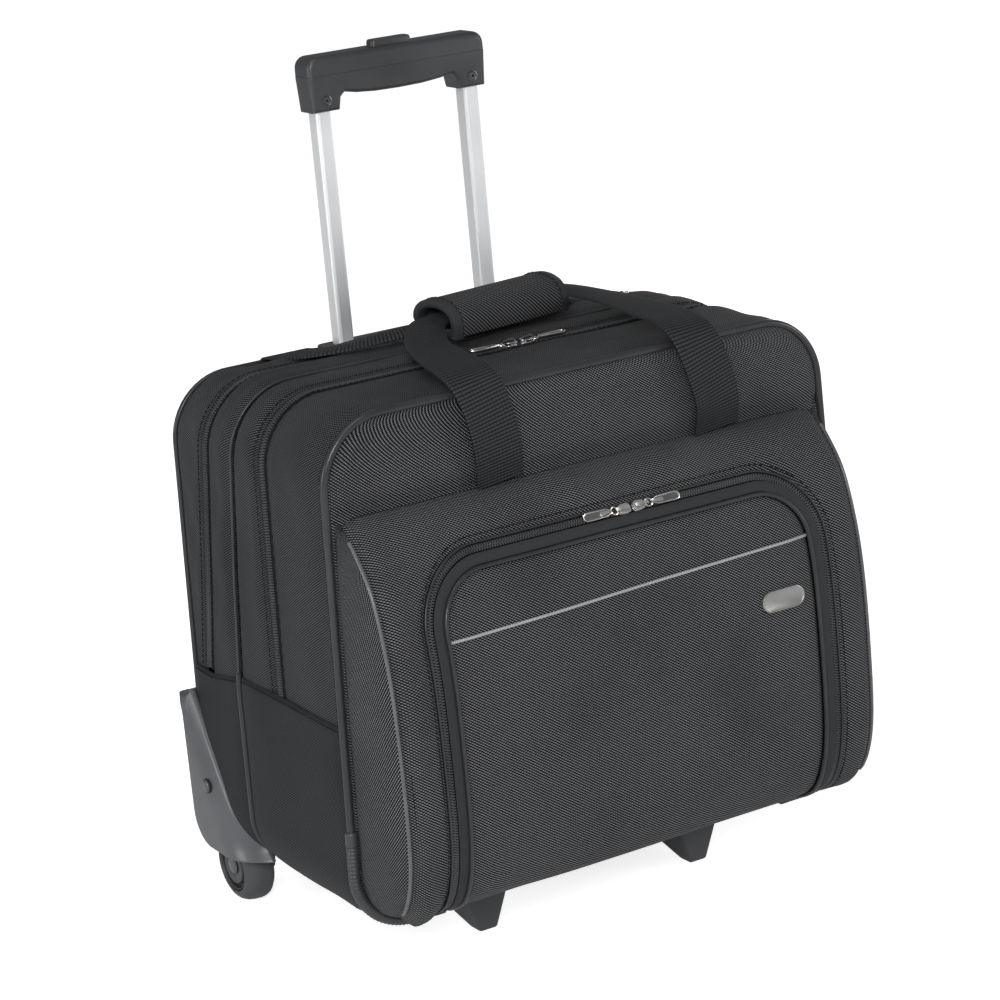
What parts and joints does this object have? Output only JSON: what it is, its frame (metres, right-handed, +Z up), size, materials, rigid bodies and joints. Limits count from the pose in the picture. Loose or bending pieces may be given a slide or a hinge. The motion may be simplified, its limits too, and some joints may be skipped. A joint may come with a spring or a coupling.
{
  "type": "rolling laptop case",
  "caption": "Wheeled soft laptop case with telescoping trolley handle, tilting zipped front cover, fold-down pocket flap, carry handles and corner guards.",
  "frame": {"origin": "on the ground, under the middle of the bounding box", "axes": "+Z up, -Y is the front with the pocket, +X is to the right of someone looking at the front"},
  "size_m": [0.4574, 0.3188, 0.6355],
  "materials": {
    "shell_fabric": "ballistic nylon twill, near black",
    "patch_fabric": "plain-weave nylon, charcoal",
    "webbing": "ribbed polypropylene webbing",
    "lining": "grey polyester lining",
    "piping": "dark grey vinyl piping, slight gloss",
    "guard_plastic": "mid-grey fine-grain moulding",
    "dark_plastic": "black satin moulding",
    "tyre": "dark moulded rubber",
    "tube_aluminium": "satin anodised",
    "steel": "plain",
    "nickel": "satin nickel plate"
  },
  "bodies": {
    "root": {"back_panel": "shell_fabric", "rear_gusset": "shell_fabric", "middle_gusset": "shell_fabric", "main_gusset": "shell_fabric", "lower_gusset": "patch_fabric", "divider_panel": "lining", "divider_piping": "piping", "base_board": "dark_plastic", "trolley_bracket": "dark_plastic", "tube_collar": "dark_plastic", "foot_left": "dark_plastic", "foot_right": "dark_plastic", "wheel_guard_left": "guard_plastic", "wheel_guard_right": "guard_plastic", "wheel_axle_left": "steel", "wheel_axle_right": "steel", "guard_rivet_left": "guard_plastic", "guard_rivet_right": "guard_plastic", "outer_tube_left": "tube_aluminium", "outer_tube_right": "tube_aluminium"},
    "lid": {"lid_gusset": "shell_fabric", "front_panel": "shell_fabric", "front_piping": "piping", "pocket_shell": "shell_fabric", "organiser_panel": "lining", "corner_protector_left": "dark_plastic", "corner_protector_right": "dark_plastic", "front_strap_left": "webbing", "front_strap_right": "webbing", "pocket_piping_left": "piping", "pocket_piping_right": "piping"},
    "flap": {"front_flap": "shell_fabric", "flap_piping": "piping", "badge": "nickel"},
    "wheel_left": {"tyre_left": "tyre", "wheel_hub_left": "dark_plastic"},
    "wheel_right": {"tyre_right": "tyre", "wheel_hub_right": "dark_plastic"},
    "trolley_middle": {"middle_tube_left": "tube_aluminium", "middle_tube_right": "tube_aluminium"},
    "trolley_inner": {"grip_lower_shell": "dark_plastic", "grip_upper_shell": "dark_plastic", "inner_tube_left": "tube_aluminium", "inner_tube_right": "tube_aluminium", "grip_screw_left": "steel", "grip_screw_right": "steel"},
    "trolley_button": {"release_button": "dark_plastic", "push_rod_left": "steel", "push_rod_right": "steel"},
    "front_handle": {"front_handle_webbing": "webbing", "handle_wrap": "shell_fabric"},
    "rear_handle": {"rear_handle_webbing": "webbing"},
    "main_slider_left": {"main_slider_left": "nickel"},
    "main_pull_left": {"main_pull_left": "nickel"},
    "main_slider_right": {"main_slider_right": "nickel"},
    "main_pull_right": {"main_pull_right": "nickel"},
    "pocket_slider_left": {"pocket_slider_left": "nickel"},
    "pocket_pull_left": {"pocket_pull_left": "nickel"},
    "pocket_slider_right": {"pocket_slider_right": "nickel"},
    "pocket_pull_right": {"pocket_pull_right": "nickel"}
  },
  "joints": [
    {"name": "cover_tilt", "type": "hinge", "parent": "root", "child": "lid", "pos_m": [0, -0.0925, 0.04], "axis": [1, 0, 0], "range_deg": [0, 22]},
    {"name": "flap_fold", "type": "hinge", "parent": "lid", "child": "flap", "pos_m": [0, -0.132, 0.0635], "axis": [1, 0, 0], "range_deg": [0, 88]},
    {"name": "front_handle_lift", "type": "slide", "parent": "lid", "child": "front_handle", "axis": [0, 0, 1], "range_m": [0, 0.03]},
    {"name": "rear_handle_lift", "type": "slide", "parent": "root", "child": "rear_handle", "axis": [0, 0, 1], "range_m": [0, 0.03]},
    {"name": "trolley_middle_slide", "type": "slide", "parent": "root", "child": "trolley_middle", "axis": [0, 0, 1], "range_m": [0, 0.28]},
    {"name": "trolley_inner_slide", "type": "slide", "parent": "trolley_middle", "child": "trolley_inner", "axis": [0, 0, 1], "range_m": [-0.177, 0.1]},
    {"name": "button_press", "type": "slide", "parent": "trolley_inner", "child": "trolley_button", "axis": [0, 0, -1], "range_m": [0, 0.0035], "stiffness_N_per_m": 600, "springref_m": -0.002},
    {"name": "wheel_left_spin", "type": "hinge", "parent": "root", "child": "wheel_left", "pos_m": [-0.2025, 0.122, 0.03], "axis": [1, 0, 0], "continuous": true},
    {"name": "wheel_right_spin", "type": "hinge", "parent": "root", "child": "wheel_right", "pos_m": [0.2025, 0.122, 0.03], "axis": [1, 0, 0], "continuous": true},
    {"name": "main_zip_left_run", "type": "slide", "parent": "root", "child": "main_slider_left", "axis": [-1, 0, 0], "range_m": [0, 0.12]},
    {"name": "main_pull_left_flip", "type": "hinge", "parent": "main_slider_left", "child": "main_pull_left", "pos_m": [-0.0018, 0.001, 0.4187], "axis": [0, 1, 0], "range_deg": [0, 95]},
    {"name": "main_zip_right_run", "type": "slide", "parent": "root", "child": "main_slider_right", "axis": [1, 0, 0], "range_m": [0, 0.1]},
    {"name": "main_pull_right_flip", "type": "hinge", "parent": "main_slider_right", "child": "main_pull_right", "pos_m": [0.0218, 0.001, 0.4187], "axis": [0, -1, 0], "range_deg": [0, 95]},
    {"name": "pocket_zip_left_run", "type": "slide", "parent": "lid", "child": "pocket_slider_left", "axis": [-1, 0, 0], "range_m": [0, 0.085]},
    {"name": "pocket_pull_left_flip", "type": "hinge", "parent": "pocket_slider_left", "child": "pocket_pull_left", "pos_m": [0.0017, -0.13071, 0.31745], "axis": [0, 0.5814, 0.8136], "range_deg": [0, 95]},
    {"name": "pocket_zip_right_run", "type": "slide", "parent": "lid", "child": "pocket_slider_right", "axis": [1, 0, 0], "range_m": [0, 0.055]},
    {"name": "pocket_pull_right_flip", "type": "hinge", "parent": "pocket_slider_right", "child": "pocket_pull_right", "pos_m": [0.0253, -0.13071, 0.31745], "axis": [0, -0.5814, -0.8136], "range_deg": [0, 95]}
  ],
  "couplings": [
    {"joint": "rear_handle_lift", "follows": "front_handle_lift", "ratio": 1}
  ]
}
